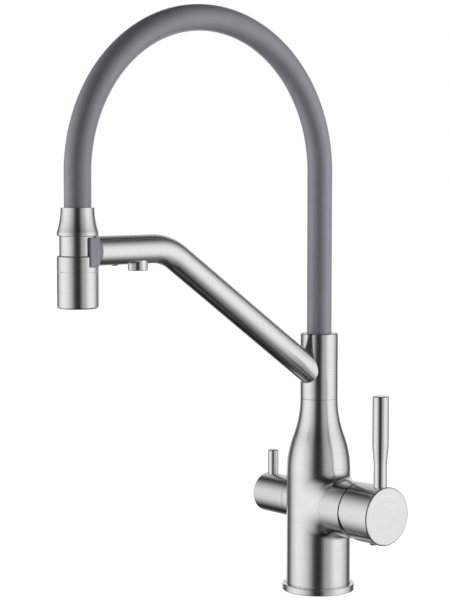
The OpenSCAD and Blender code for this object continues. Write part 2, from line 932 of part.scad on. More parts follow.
// flow straightener in the mouth of the nozzle
module nozzle_insert() {
    color(plastic)
    translate([0, -nozzle_l, 0])
    difference() {
        translate([0, 0, nozzle_bottom_z + insert_recess])
            cylinder(r = insert_r - fit_gap, h = insert_t);
        for (a = [0 : 60 : 300])
            rotate([0, 0, a])
                translate([insert_ring_r, 0, nozzle_bottom_z])
                    cylinder(r = insert_hole_r, h = insert_t + 2);
        translate([0, 0, nozzle_bottom_z])
            cylinder(r = insert_hole_r, h = insert_t + 2);
    }
}

// collar that carries the arm and the hose and swivels on the spigot
module swivel_collar() {
    color(steel)
    difference() {
        union() {
            translate([0, 0, collar_z])
                cylinder(r = collar_r, h = collar_h - collar_edge);
            translate([0, 0, collar_top_z - collar_edge])
                cylinder(r1 = collar_r, r2 = collar_r - collar_edge, h = collar_edge);
        }
        translate([0, 0, collar_z - 1])
            cylinder(r = bush_r, h = bush_top_z - collar_z + 1);
        translate([0, 0, bush_top_z - 1])
            cylinder(r = thread_r, h = collar_top_z - bush_top_z);
        translate([0, 0, sleeve_foot_z - flange_t])
            cylinder(r = hose_r + slip_gap, h = sleeve_recess + flange_t + 1);
        slant(arm_r - let_in, tube_start - 1, 2 * neck_d);
        translate([0, 0, set_screw_z])
            rotate([-90, 0, 0])
                cylinder(r = set_screw_r, h = neck_d);
    }
}

// plastic bush between the collar and the spigot
module collar_bush() {
    color(plastic)
    difference() {
        tube(bush_r, spigot_r + run_gap, bush_z, bush_top_z);
        slant(tube_r - 0.6, tube_start - 1, neck_d);
        translate([0, 0, set_screw_z])
            rotate([-90, 0, 0])
                cylinder(r = set_screw_r + slip_gap, h = neck_d);
    }
}

// screw that runs in the spigot's groove and keeps the collar down
module collar_set_screw() {
    set_screw_start = spigot_r - set_groove_depth + free_gap;
    color(dark)
    translate([0, 0, set_screw_z])
        rotate([-90, 0, 0])
            difference() {
                translate([0, 0, set_screw_start])
                    cylinder(r = set_screw_r - fit_gap, h = collar_r - collar_edge - set_screw_start);
                translate([0, 0, collar_r - set_hex_l])
                    cylinder(r = set_hex_r, h = set_hex_l + 1, $fn = 6);
            }
}

// nipple that joins the collar to the inner hose
module hose_nipple() {
    color(brass)
    difference() {
        union() {
            translate([0, 0, bush_top_z])
                cylinder(r = thread_r - fit_gap, h = sleeve_foot_z - flange_t - bush_top_z);
            translate([0, 0, sleeve_foot_z - flange_t])
                cylinder(r = inner_r, h = flange_t);
            translate([0, 0, sleeve_foot_z])
                cylinder(r = nipple_r, h = barb_l);
            for (k = [0 : barb_count - 1])
                translate([0, 0, sleeve_foot_z + barb_start + barb_pitch * k])
                    cylinder(r1 = inner_bore_r - fit_gap, r2 = barb_back_r, h = barb_h);
        }
        translate([0, 0, bush_top_z - 1])
            cylinder(r = way_r, h = sleeve_foot_z - bush_top_z + barb_l + 2);
    }
}

// ring that grips the foot of the sleeve in the collar
module hose_retainer() {
    color(plastic)
        tube(hose_r, inner_r + 0.1, sleeve_foot_z - flange_t, sleeve_foot_z);
}

// tube along the hose: up from the collar, over the arch, down to the head
module hose_tube(r, hole_r) {
    tube(r, hole_r, sleeve_foot_z, arch_z);
    translate([0, -arch_r, arch_z])
        rotate([0, -90, 0])
            rotate([0, 0, -90])
                rotate_extrude(angle = 180)
                    translate([arch_r, 0])
                        difference() {
                            circle(r = r);
                            circle(r = hole_r);
                        }
    translate([0, -reach, 0])
        tube(r, hole_r, ferrule_seat_z, arch_z);
}

// soft outer sleeve of the hose
module hose_sleeve() {
    color(grey)
        hose_tube(hose_r, sleeve_bore_r);
}

// water hose inside the sleeve
module inner_hose() {
    color(white)
        hose_tube(inner_r, inner_bore_r);
}

// flared ferrule at the lower end of the hose
module hose_ferrule() {
    flare_r = head_r - 0.1;
    rise = ferrule_top_z - flare_z;
    // the sweep passes just outside the flare's corner
    run = flare_r - ferrule_top_r + 0.15;
    sweep_r = (rise * rise + run * run) / (2 * run);
    color(steel)
    translate([0, -reach, 0])
    difference() {
        rotate_extrude()
            difference() {
                translate([0, ferrule_z])
                    square([flare_r, ferrule_top_z - ferrule_z]);
                translate([ferrule_top_r + sweep_r, ferrule_top_z])
                    circle(r = sweep_r, $fn = 200);
                polygon([[flare_r - ferrule_edge - 1, ferrule_z - 1], [flare_r + 1, ferrule_z - 1],
                    [flare_r + 1, ferrule_z + ferrule_edge + 1]]);
            }
        translate([0, 0, ferrule_seat_z])
            cylinder(r = hose_r + slip_gap, h = ferrule_top_z - ferrule_z);
        translate([0, 0, ferrule_z - 1])
            cylinder(r = thread_r, h = ferrule_floor + 2);
    }
}

// threaded nipple that joins the inner hose to the spray head
module hose_end_nipple() {
    color(brass)
    translate([0, -reach, 0])
    difference() {
        union() {
            translate([0, 0, ferrule_z - thread_l])
                cylinder(r = thread_r - fit_gap, h = ferrule_floor + thread_l);
            translate([0, 0, ferrule_seat_z - 1])
                cylinder(r = nipple_r, h = barb_l + 1);
            for (k = [0 : barb_count - 1])
                translate([0, 0, ferrule_seat_z + barb_start + barb_pitch * k])
                    cylinder(r1 = barb_back_r, r2 = inner_bore_r - fit_gap, h = barb_h);
        }
        translate([0, 0, ferrule_z - thread_l - 1])
            cylinder(r = way_r, h = thread_l + ferrule_floor + barb_l + 2);
    }
}

// upper half of the spray head: the docked neck, the front rim and the ledge behind it
module head_body() {
    color(steel)
    translate([0, -reach, 0])
    difference() {
        union() {
            translate([0, 0, sleeve_seam_z])
                cylinder(r = head_r, h = rim_z - rim_edge - sleeve_seam_z);
            translate([0, 0, rim_z - rim_edge])
                cylinder(r1 = head_r, r2 = head_r - rim_edge, h = rim_edge);
            translate([0, 0, sleeve_seam_z])
                cylinder(r = head_neck_r, h = ferrule_z - sleeve_seam_z);
            translate([0, 0, sleeve_seam_z - spout_thread_l])
                cylinder(r = spout_thread_r, h = spout_thread_l + 1);
        }
        // the notch that the lower edge of the clip stands in
        difference() {
            translate([0, 0, ledge_z])
                cylinder(r = head_r + 1, h = rim_z - ledge_z + 0.01);
            translate([0, 0, ledge_z - 1])
                cylinder(r = head_neck_r, h = rim_z - ledge_z + 2);
            wedge(180 - 2 * (clip_wrap + 2), ledge_z - 1, rim_z + 1);
        }
        translate([0, 0, ferrule_z - thread_l - head_seal_t])
            cylinder(r = thread_r, h = thread_l + head_seal_t + 1);
        translate([0, 0, sleeve_seam_z - spout_thread_l - 1])
            cylinder(r = valve_r, h = spout_thread_l + 3);
        translate([0, 0, sleeve_seam_z])
            cylinder(r = head_way_r, h = rim_z - sleeve_seam_z + 1);
    }
}

// sector of the given angle about -Y, for cutting the open front of the clip and the notch
module wedge(angle, z0, z1) {
    translate([0, 0, z0])
        rotate([0, 0, -90 - angle / 2])
            rotate_extrude(angle = angle)
                square([head_d, z1 - z0]);
}

module head_seal() {
    color(dark)
    translate([0, -reach, 0])
        tube(thread_r - 0.1, head_way_r + 0.2, ferrule_z - thread_l - head_seal_t, ferrule_z - thread_l);
}

// cartridge that stops water from running back
module check_valve() {
    valve_z = sleeve_seam_z + valve_up - valve_l;
    color(plastic)
    translate([0, -reach, 0])
    difference() {
        translate([0, 0, valve_z])
            cylinder(r = valve_r - 0.1, h = valve_l);
        translate([0, 0, valve_z - 1])
            cylinder(r = valve_mouth_r, h = valve_l / 2 + 1);
        translate([0, 0, valve_z])
            cylinder(r = valve_way_r, h = valve_l + 1);
    }
}

// lower sleeve of the spray head
module outlet_sleeve() {
    top_z = sleeve_seam_z - free_gap;
    color(steel)
    translate([0, -reach, 0])
    difference() {
        rotate_extrude()
            union() {
                translate([0, head_bottom_z + head_edge_r])
                    square([head_r, top_z - head_bottom_z - head_edge_r]);
                translate([0, head_bottom_z])
                    square([head_r - head_edge_r, head_edge_r + 1]);
                translate([head_r - head_edge_r, head_bottom_z + head_edge_r])
                    circle(r = head_edge_r, $fn = 64);
            }
        translate([0, 0, head_bottom_z + jet_l])
            cylinder(r = spout_thread_r + slip_gap, h = seam_up);
        translate([0, 0, head_bottom_z - 1])
            cylinder(r = jet_r, h = jet_l + 2);
    }
}

// jet former in the mouth of the spray head
module aerator() {
    color(dark)
    translate([0, -reach, 0])
    difference() {
        union() {
            translate([0, 0, head_bottom_z + jet_recess])
                cylinder(r = jet_r - slip_gap, h = jet_l);
            translate([0, 0, head_bottom_z + jet_l + slip_gap])
                cylinder(r = spout_thread_r - 0.1, h = jet_flange_t);
        }
        translate([0, 0, head_bottom_z + jet_recess + jet_floor_t])
            cylinder(r = jet_r - jet_wall, h = jet_l);
        for (a = [0 : 45 : 315])
            rotate([0, 0, a])
                translate([jet_ring_r, 0, head_bottom_z])
                    cylinder(r = jet_hole_r, h = jet_l);
        for (a = [0 : 90 : 270])
            rotate([0, 0, a])
                translate([jet_inner_ring_r, 0, head_bottom_z])
                    cylinder(r = jet_hole_r, h = jet_l);
    }
}

// moulded clip that holds the spray head, plugged into the end of the arm
module head_clip() {
    color(grey)
    difference() {
        union() {
            // the band round the neck, flat where the arm meets it
            translate([0, -reach, 0])
                difference() {
                    tube(clip_band_r, clip_r, clip_z0, clip_z1);
                    wedge(180 - 2 * clip_wrap, clip_z0 - 1, clip_z1 + 1);
                    translate([-arm_d, arm_face - slip_gap, clip_z0 - 1])
                        cube([2 * arm_d, arm_d, clip_h + 2]);
                }
            // the end of the arm's round form, and the stub inside the arm
            difference() {
                union() {
                    intersection() {
                        translate([0, -reach, arm_z])
                            rotate([-90, 0, 0])
                                cylinder(r = arm_r, h = arm_face - slip_gap);
                        translate([-arm_r, -reach, clip_z0])
                            cube([arm_d, arm_face, clip_h]);
                    }
                    translate([0, -arm_end_l + clip_stub_l, arm_z])
                        rotate([90, 0, 0])
                            cylinder(r = arm_bore_r - slip_gap, h = clip_stub_l);
                }
                translate([0, -reach, arm_z])
                    cylinder(r = clip_r + 0.2, h = 2 * arm_d, center = true);
            }
        }
        translate([0, -clip_screw_l, arm_z - arm_r - 2])
            cylinder(r = clip_screw_r, h = arm_r);
    }
}

// small screw that holds the clip in the arm
module clip_screw() {
    color(dark)
    union() {
        translate([0, -clip_screw_l, arm_z - arm_r - 0.2])
            cylinder(r = clip_screw_r - fit_gap, h = clip_screw_h);
        translate([0, -clip_screw_l, arm_z - arm_r - clip_screw_stand])
            cylinder(r1 = clip_screw_rim_r, r2 = clip_screw_head_r, h = clip_screw_stand - 0.1);
    }
}

body_shell();
base_ring();
base_gasket();
spigot();
spigot_o_rings();
swivel_washer();
cartridge_seal();
cartridge_housing();
fixed_disc();
cartridge_nut();
cartridge_dome();
filter_valve_body();
filter_valve_seal();
filter_fixed_disc();
cartridge_turntable();
tilt_pin();
disc_carrier();
moving_disc();
cartridge_spindle();
mixer_cap();
mixer_lever();
mixer_grub_screw();
mixer_screw_plug();
filter_spindle();
filter_disc();
filter_cap();
filter_lever();
filter_grub_screw();
swivel_collar();
collar_bush();
collar_set_screw();
hose_nipple();
hose_retainer();
spout_arm();
nozzle_tube();
filter_nozzle();
nozzle_insert();
head_clip();
clip_screw();
hose_sleeve();
inner_hose();
hose_ferrule();
hose_end_nipple();
head_body();
head_seal();
check_valve();
outlet_sleeve();
aerator();
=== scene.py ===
import math

import bpy
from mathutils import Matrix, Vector


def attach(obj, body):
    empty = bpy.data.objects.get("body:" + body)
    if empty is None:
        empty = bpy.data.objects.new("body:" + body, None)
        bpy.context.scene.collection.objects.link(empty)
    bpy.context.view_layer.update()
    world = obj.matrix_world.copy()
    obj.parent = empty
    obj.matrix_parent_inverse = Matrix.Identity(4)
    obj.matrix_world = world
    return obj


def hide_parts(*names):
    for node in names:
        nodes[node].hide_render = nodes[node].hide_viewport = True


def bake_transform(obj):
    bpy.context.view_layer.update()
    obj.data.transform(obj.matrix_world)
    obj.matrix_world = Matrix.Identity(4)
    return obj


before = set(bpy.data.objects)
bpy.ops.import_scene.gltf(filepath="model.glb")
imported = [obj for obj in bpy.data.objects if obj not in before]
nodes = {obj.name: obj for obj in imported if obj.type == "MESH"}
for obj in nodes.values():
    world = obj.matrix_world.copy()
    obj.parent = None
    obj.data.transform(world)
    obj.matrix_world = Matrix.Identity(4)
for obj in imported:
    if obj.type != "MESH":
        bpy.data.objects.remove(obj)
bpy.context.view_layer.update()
scene = bpy.context.scene
scene.view_settings.view_transform = "Standard"

# Sizes in metres, the same as in the part's source
REACH = 0.225
HANDLE_Z = 0.0685
BODY_R = 0.025
BOSS_R = 0.0218
MIXER_LEVER_X = 0.0693
FILTER_LEVER_X = -0.0548
TILT_PIN_X = 0.0474
HOSE_R = 0.0096
HOSE_BORE_R = 0.0072
LINER_R = 0.0068
LINER_BORE_R = 0.0046
HOSE_FOOT_Z = 0.19745
ARCH_Z = 0.32585
HOSE_END_Z = 0.28725
ARM_R = 0.0105
ARM_FOOT_Z = 0.16555
ARM_Z = 0.27135
BEND_L = 0.1609
NOZZLE_Y = -0.1735
SLANT = math.radians(35.4)
CLIP_Z0 = 0.26105
CLIP_Z1 = 0.28145
CLIP_R = 0.0133
CLIP_BAND_R = 0.0154
# distance from the head's axis to the end of the arm
ARM_FACE = 0.01425
# the band goes this many degrees past half a turn at each end
CLIP_WRAP = 0.4
# the plug starts inside the band, and stays just within the round of the arm
PLUG_IN = 0.0006
PLUG_UNDER = 0.0001

# Camera at the photograph's viewing angle
AZIMUTH = math.radians(51.23)
PITCH = math.radians(4.35)
cam_data = bpy.data.cameras.new("camera")
cam_data.sensor_width = 36.0
cam_data.lens = 108.03
cam = bpy.data.objects.new("camera", cam_data)
scene.collection.objects.link(cam)
cam.location = (1.03972, -0.92887, 0.33277)
look = Vector((-math.sin(AZIMUTH) * math.cos(PITCH),
               math.cos(AZIMUTH) * math.cos(PITCH),
               -math.sin(PITCH)))
cam.rotation_mode = "QUATERNION"
cam.rotation_quaternion = look.to_track_quat("-Z", "Y")
scene.camera = cam


# Node tree helpers
class Tree:
    def __init__(self, name):
        self.mat = bpy.data.materials.new(name)
        self.mat.use_nodes = True
        self.nt = self.mat.node_tree
        self.bsdf = self.nt.nodes["Principled BSDF"]

    def node(self, kind, **values):
        n = self.nt.nodes.new(kind)
        for key, value in values.items():
            setattr(n, key, value)
        return n

    def join(self, source, target):
        self.nt.links.new(source, target)

    def feed(self, socket, value):
        if isinstance(value, bpy.types.NodeSocket):
            self.join(value, socket)
        elif value is not None:
            socket.default_value = value

    def math(self, operation, a, b=None, clamp=False):
        n = self.node("ShaderNodeMath", operation=operation, use_clamp=clamp)
        self.feed(n.inputs[0], a)
        self.feed(n.inputs[1], b)
        return n.outputs[0]

    def vmath(self, operation, a, b=None, scale=None):
        n = self.node("ShaderNodeVectorMath", operation=operation)
        self.feed(n.inputs[0], a)
        self.feed(n.inputs[1], b)
        if scale is not None:
            self.feed(n.inputs["Scale"], scale)
        return n.outputs["Value"] if operation in ("DOT_PRODUCT", "LENGTH") else n.outputs["Vector"]

    def mix_vec(self, factor, a, b):
        n = self.node("ShaderNodeMix", data_type="VECTOR")
        self.feed(n.inputs[0], factor)
        self.feed(n.inputs[4], a)
        self.feed(n.inputs[5], b)
        return n.outputs[1]

    def mix_num(self, factor, a, b):
        n = self.node("ShaderNodeMix", data_type="FLOAT")
        self.feed(n.inputs[0], factor)
        self.feed(n.inputs[2], a)
        self.feed(n.inputs[3], b)
        return n.outputs[0]

    def noise(self, vector, scale, detail=2.0, rough=0.5):
        n = self.node("ShaderNodeTexNoise")
        self.feed(n.inputs["Vector"], vector)
        n.inputs["Scale"].default_value = scale
        n.inputs["Detail"].default_value = detail
        n.inputs["Roughness"].default_value = rough
        return n.outputs["Fac"]

    def span(self, value, a0, a1, b0, b1):
        n = self.node("ShaderNodeMapRange")
        self.feed(n.inputs["Value"], value)
        for i, x in enumerate((a0, a1, b0, b1), 1):
            n.inputs[i].default_value = x
        return n.outputs[0]

    def full(self, noise, low=0.0, high=1.0):
        return self.span(noise, NOISE_LOW, NOISE_HIGH, low, high)

    def tint(self, factor, low, high):
        n = self.node("ShaderNodeMix", data_type="RGBA")
        self.feed(n.inputs[0], factor)
        n.inputs[6].default_value = (*low, 1)
        n.inputs[7].default_value = (*high, 1)
        return n.outputs[2]

    def bump(self, height, strength, distance):
        n = self.node("ShaderNodeBump")
        n.inputs["Strength"].default_value = strength
        n.inputs["Distance"].default_value = distance
        self.join(height, n.inputs["Height"])
        self.join(n.outputs[0], self.bsdf.inputs["Normal"])


# Brushed steel: fine lines run round the axis that each part was turned on
STEEL_LOW = (0.77, 0.77, 0.765)
STEEL_HIGH = (0.85, 0.85, 0.845)
# lines per metre, and how far a line strays as it goes round
FINE_LINES = 2600.0
BROAD_LINES = 650.0
STRAY = 0.0011
CLOUDS = 38.0
# a noise texture lies mostly between these two values
NOISE_LOW = 0.3
NOISE_HIGH = 0.7


def turned(t, position, point, axis):
    rel = t.vmath("SUBTRACT", position, point)
    along = t.vmath("DOT_PRODUCT", rel, axis)
    flat = t.vmath("SUBTRACT", rel, t.vmath("SCALE", axis, scale=along))
    radius = t.vmath("LENGTH", flat)
    around = t.vmath("NORMALIZE", flat)
    return along, radius, around, t.vmath("CROSS_PRODUCT", axis, flat)


def finish_steel(t, along, radius, around, grain):
    p = t.bsdf
    lines = t.node("ShaderNodeCombineXYZ")
    t.join(along, lines.inputs[0])
    t.feed(lines.inputs[1], radius)
    vec = t.vmath("ADD", lines.outputs[0], t.vmath("SCALE", around, scale=STRAY))
    fine = t.noise(vec, FINE_LINES, 2.0, 0.6)
    broad = t.noise(vec, BROAD_LINES, 2.0, 0.5)
    cloud = t.noise(t.node("ShaderNodeTexCoord").outputs["Object"], CLOUDS, 3.0)
    both = t.math("ADD", t.math("MULTIPLY", fine, 0.55), t.math("MULTIPLY", broad, 0.45))
    t.join(t.tint(t.full(both), STEEL_LOW, STEEL_HIGH), p.inputs["Base Color"])
    p.inputs["Metallic"].default_value = 1.0
    rough = t.math("ADD", t.full(both, 0.15, 0.19), t.full(cloud, -0.012, 0.012))
    t.join(rough, p.inputs["Roughness"])
    p.inputs["Anisotropic"].default_value = 0.7
    world = t.node("ShaderNodeVectorTransform", vector_type="VECTOR",
                   convert_from="OBJECT", convert_to="WORLD")
    t.join(grain, world.inputs[0])
    t.join(world.outputs[0], p.inputs["Tangent"])
    t.bump(both, 0.012, 0.00002)


def steel_round(name, point, axis):
    t = Tree(name)
    tc = t.node("ShaderNodeTexCoord")
    along, radius, around, ring = turned(t, tc.outputs["Object"], point, axis)
    grain = t.vmath("CROSS_PRODUCT", ring, tc.outputs["Normal"])
    finish_steel(t, along, radius, around, grain)
    return t.mat


# The body is brushed round its own axis, and its bosses round the handle axis.
# The two change over between these distances from the body's side
BOSS_FROM = 0.0002
BOSS_TO = 0.003


def steel_body(name):
    t = Tree(name)
    tc = t.node("ShaderNodeTexCoord")
    a1, r1, u1, ring1 = turned(t, tc.outputs["Object"], (0, 0, 0), (0, 0, 1))
    a2, r2, u2, ring2 = turned(t, tc.outputs["Object"], (0, 0, HANDLE_Z), (1, 0, 0))
    boss = t.span(r1, BODY_R + BOSS_FROM, BODY_R + BOSS_TO, 0.0, 1.0)
    along = t.mix_num(boss, a1, a2)
    radius = t.mix_num(boss, r1, r2)
    around = t.mix_vec(boss, u1, u2)
    ring = t.mix_vec(boss, ring1, ring2)
    grain = t.vmath("CROSS_PRODUCT", ring, tc.outputs["Normal"])
    finish_steel(t, along, radius, around, grain)
    return t.mat


# The arm is brushed across its length, on the slant and on the level.
# The two change over along this much of the arm
LEVEL_OVER = 0.02


def steel_arm(name):
    t = Tree(name)
    tc = t.node("ShaderNodeTexCoord")
    slant_axis = (0, -math.cos(SLANT), math.sin(SLANT))
    a1, r1, u1, ring1 = turned(t, tc.outputs["Object"], (0, 0, ARM_FOOT_Z), slant_axis)
    a2, r2, u2, ring2 = turned(t, tc.outputs["Object"], (0, 0, ARM_Z), (0, -1, 0))
    split = t.node("ShaderNodeSeparateXYZ")
    t.join(tc.outputs["Object"], split.inputs[0])
    level = t.span(split.outputs[1], -BEND_L + LEVEL_OVER, -BEND_L, 0.0, 1.0)
    along = t.mix_num(level, a1, a2)
    around = t.mix_vec(level, u1, u2)
    ring = t.mix_vec(level, ring1, ring2)
    grain = t.vmath("CROSS_PRODUCT", ring, tc.outputs["Normal"])
    finish_steel(t, along, None, around, grain)
    return t.mat


# Satin silicone with a fine moulded grain and faint clouds of colour
def silicone(name, low, high, grain=2400.0):
    t = Tree(name)
    p = t.bsdf
    where = t.node("ShaderNodeTexCoord").outputs["Object"]
    cloud = t.noise(where, 55.0, 3.0)
    fine = t.noise(where, grain, 2.0, 0.6)
    t.join(t.tint(t.full(cloud), low, high), p.inputs["Base Color"])
    t.join(t.full(fine, 0.28, 0.36), p.inputs["Roughness"])
    p.inputs["Specular IOR Level"].default_value = 0.9
    t.bump(fine, 0.10, 0.00005)
    return t.mat


# Other materials: brass, plastics, ceramic and dark metal, each with its own grain
def plain(name, low, high, metallic, rough_low, rough_high, scale, bump=0.05):
    t = Tree(name)
    p = t.bsdf
    where = t.node("ShaderNodeTexCoord").outputs["Object"]
    grain = t.noise(where, scale, 4.0, 0.6)
    t.join(t.tint(t.full(grain), low, high), p.inputs["Base Color"])
    p.inputs["Metallic"].default_value = metallic
    t.join(t.full(grain, rough_low, rough_high), p.inputs["Roughness"])
    t.bump(grain, bump, 0.00004)
    return t.mat


def put(mat, *names):
    for n in names:
        o = nodes[n]
        if not o.material_slots:
            o.data.materials.append(mat)
        for s in o.material_slots:
            s.material = mat


X = (1, 0, 0)
Y = (0, 1, 0)
Z = (0, 0, 1)
body_steel = steel_body("steel_body")
put(body_steel, "body_shell")
put(steel_round("steel_axis", (0, 0, 0), Z), "base_ring", "swivel_collar")
put(steel_round("steel_head", (0, -REACH, 0), Z), "hose_ferrule", "head_body", "outlet_sleeve")
put(steel_round("steel_handles", (0, 0, HANDLE_Z), X), "mixer_cap", "filter_cap")
put(steel_round("steel_mixer_lever", (MIXER_LEVER_X, 0, 0), Z), "mixer_lever")
put(steel_round("steel_filter_lever", (FILTER_LEVER_X, 0, 0), Z), "filter_lever")
put(steel_round("steel_nozzle", (0, NOZZLE_Y, 0), Z), "filter_nozzle")
put(steel_arm("steel_arm"), "spout_arm")
put(steel_round("steel_pin", (TILT_PIN_X, 0, HANDLE_Z), Y), "tilt_pin")

grey_silicone = silicone("grey_silicone", (0.245, 0.258, 0.288), (0.270, 0.284, 0.314))
dark_rubber = silicone("dark_rubber", (0.012, 0.012, 0.013), (0.024, 0.024, 0.025))
put(dark_rubber, "base_gasket", "spigot_o_rings", "cartridge_seal", "filter_valve_seal", "head_seal")
put(plain("brass", (0.62, 0.44, 0.19), (0.72, 0.54, 0.27), 1.0, 0.26, 0.38, 700.0),
    "spigot", "cartridge_nut", "filter_valve_body", "cartridge_spindle", "filter_spindle",
    "hose_nipple", "hose_end_nipple")
put(plain("ceramic", (0.80, 0.79, 0.76), (0.86, 0.85, 0.82), 0.0, 0.14, 0.22, 900.0, 0.02),
    "fixed_disc", "moving_disc", "filter_fixed_disc", "filter_disc")
put(plain("pale_plastic", (0.62, 0.63, 0.65), (0.70, 0.71, 0.72), 0.0, 0.38, 0.50, 1500.0),
    "swivel_washer", "cartridge_housing", "cartridge_turntable", "disc_carrier", "collar_bush",
    "hose_retainer", "nozzle_tube", "nozzle_insert", "check_valve")
# Dark plastic for the screw plug and the aerator. The cartridge dome gets it too, as painted shade, so
# that the gap between the mixer boss and its cap reads dark
put(plain("dark_plastic", (0.020, 0.020, 0.022), (0.036, 0.036, 0.038), 0.0, 0.40, 0.52, 1500.0),
    "mixer_screw_plug", "aerator", "cartridge_dome")
put(plain("dark_metal", (0.05, 0.05, 0.052), (0.09, 0.09, 0.092), 1.0, 0.34, 0.46, 1200.0),
    "mixer_grub_screw", "filter_grub_screw", "collar_set_screw", "clip_screw")


def add(name, verts, faces, mat):
    mesh = bpy.data.meshes.new(name)
    mesh.from_pydata(verts, [], faces)
    mesh.validate()
    mesh.shade_smooth()
    mesh.materials.append(mat)
    obj = bpy.data.objects.new(name, mesh)
    scene.collection.objects.link(obj)
    return obj


# Hose: a thick sleeve up from the collar, over half a circle and down to the ferrule
def hose_path(step=0.004):
    arch_r = REACH / 2
    points = []
    n = max(2, round((ARCH_Z - HOSE_FOOT_Z) / step))
    for i in range(n):
        points.append((Vector((0, 0, HOSE_FOOT_Z + (ARCH_Z - HOSE_FOOT_Z) * i / n)), 90.0))
    n = round(math.pi * arch_r / step)
    for i in range(n):
        a = math.pi * i / n
        centre = Vector((0, -arch_r, ARCH_Z))
        points.append((centre + arch_r * Vector((0, math.cos(a), math.sin(a))), 90 + math.degrees(a)))
    n = max(2, round((ARCH_Z - HOSE_END_Z) / step))
    for i in range(n + 1):
        points.append((Vector((0, -REACH, ARCH_Z - (ARCH_Z - HOSE_END_Z) * i / n)), 270.0))
    return points


def hose(name, outer, bore, mat, around=56):
    verts, faces = [], []
    path = hose_path()
    for p, heading in path:
        # the heading turns in the YZ plane: up, then towards -Y, then down
        h = math.radians(heading)
        side = Vector((0, math.sin(h), -math.cos(h)))
        for r in (outer, bore):
            for k in range(around):
                a = 2 * math.pi * k / around
                verts.append(p + r * (math.cos(a) * Vector((1, 0, 0)) + math.sin(a) * side))
    ring = 2 * around
    for i in range(len(path) - 1):
        for k in range(around):
            j = (k + 1) % around
            o = i * ring
            faces.append((o + k, o + j, o + ring + j, o + ring + k))
            o += around
            faces.append((o + k, o + ring + k, o + ring + j, o + j))
    for o, turn in ((0, 1), ((len(path) - 1) * ring, -1)):
        for k in range(around):
            j = (k + 1) % around
            quad = (o + k, o + around + k, o + around + j, o + j)
            faces.append(quad[::turn])
    return add(name, verts, faces, mat), [tuple(p) for p, _ in path]


sleeve, route = hose("hose_outer", HOSE_R, HOSE_BORE_R, grey_silicone)
liner, _ = hose("hose_liner", LINER_R, LINER_BORE_R, dark_rubber)
for piece in (sleeve, liner):
    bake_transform(piece)
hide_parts("hose_sleeve")
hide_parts("inner_hose")


# Cast blend between the body and the mixer boss: broadest at the sides, tightest below
BLEND_TOP = 0.0070
BLEND_LOW = 0.0050
BLEND_SIDE = 0.0054
# the blend lies this much over the two forms that it joins
PROUD = 0.00004
# length of the curve's handles, as a share of its width
HANDLE = 0.56
# small turn for the direction of the line where the two forms meet
SLIGHT = 0.001


# A point of that line on the body's side, laid out flat: distance round, then height
def unrolled(a):
    return Vector((BODY_R * math.asin(BOSS_R * math.cos(a) / BODY_R), BOSS_R * math.sin(a)))


def boss_blend(name, mat, around=192, steps=24):
    verts, faces = [], []
    for k in range(around):
        a = 2 * math.pi * k / around
        upper = (1 + math.sin(a)) / 2
        width = BLEND_LOW + (BLEND_TOP - BLEND_LOW) * upper + BLEND_SIDE * math.cos(a) ** 2
        # the foot of the blend on the body, square to the line where the two forms meet
        run = unrolled(a + SLIGHT) - unrolled(a - SLIGHT)
        out = Vector((run.y, -run.x)).normalized()
        foot = unrolled(a) + width * out
        turn = foot.x / BODY_R
        normal = Vector((math.cos(turn), math.sin(turn), 0))
        across = Vector((-math.sin(turn), math.cos(turn), 0))
        p0 = (BODY_R + PROUD) * normal + Vector((0, 0, HANDLE_Z + foot.y))
        t0 = -(out.x * across + out.y * Vector((0, 0, 1)))
        ring = Vector((0, math.cos(a), math.sin(a)))
        reach = math.sqrt(BODY_R ** 2 - (BOSS_R * math.cos(a)) ** 2) + width
        p3 = Vector((reach, 0, HANDLE_Z)) + (BOSS_R + PROUD) * ring
        p1 = p0 + HANDLE * width * t0
        p2 = p3 - Vector((HANDLE * width, 0, 0))
        for i in range(steps + 1):
            f = i / steps
            g = 1 - f
            verts.append(g ** 3 * p0 + 3 * g * g * f * p1 + 3 * g * f * f * p2 + f ** 3 * p3)
    row = steps + 1
    for k in range(around):
        j = (k + 1) % around
        for i in range(steps):
            faces.append((k * row + i, j * row + i, j * row + i + 1, k * row + i + 1))
    return add(name, verts, faces, mat)


blend = boss_blend("boss_blend", body_steel)
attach(blend, "tap_body")


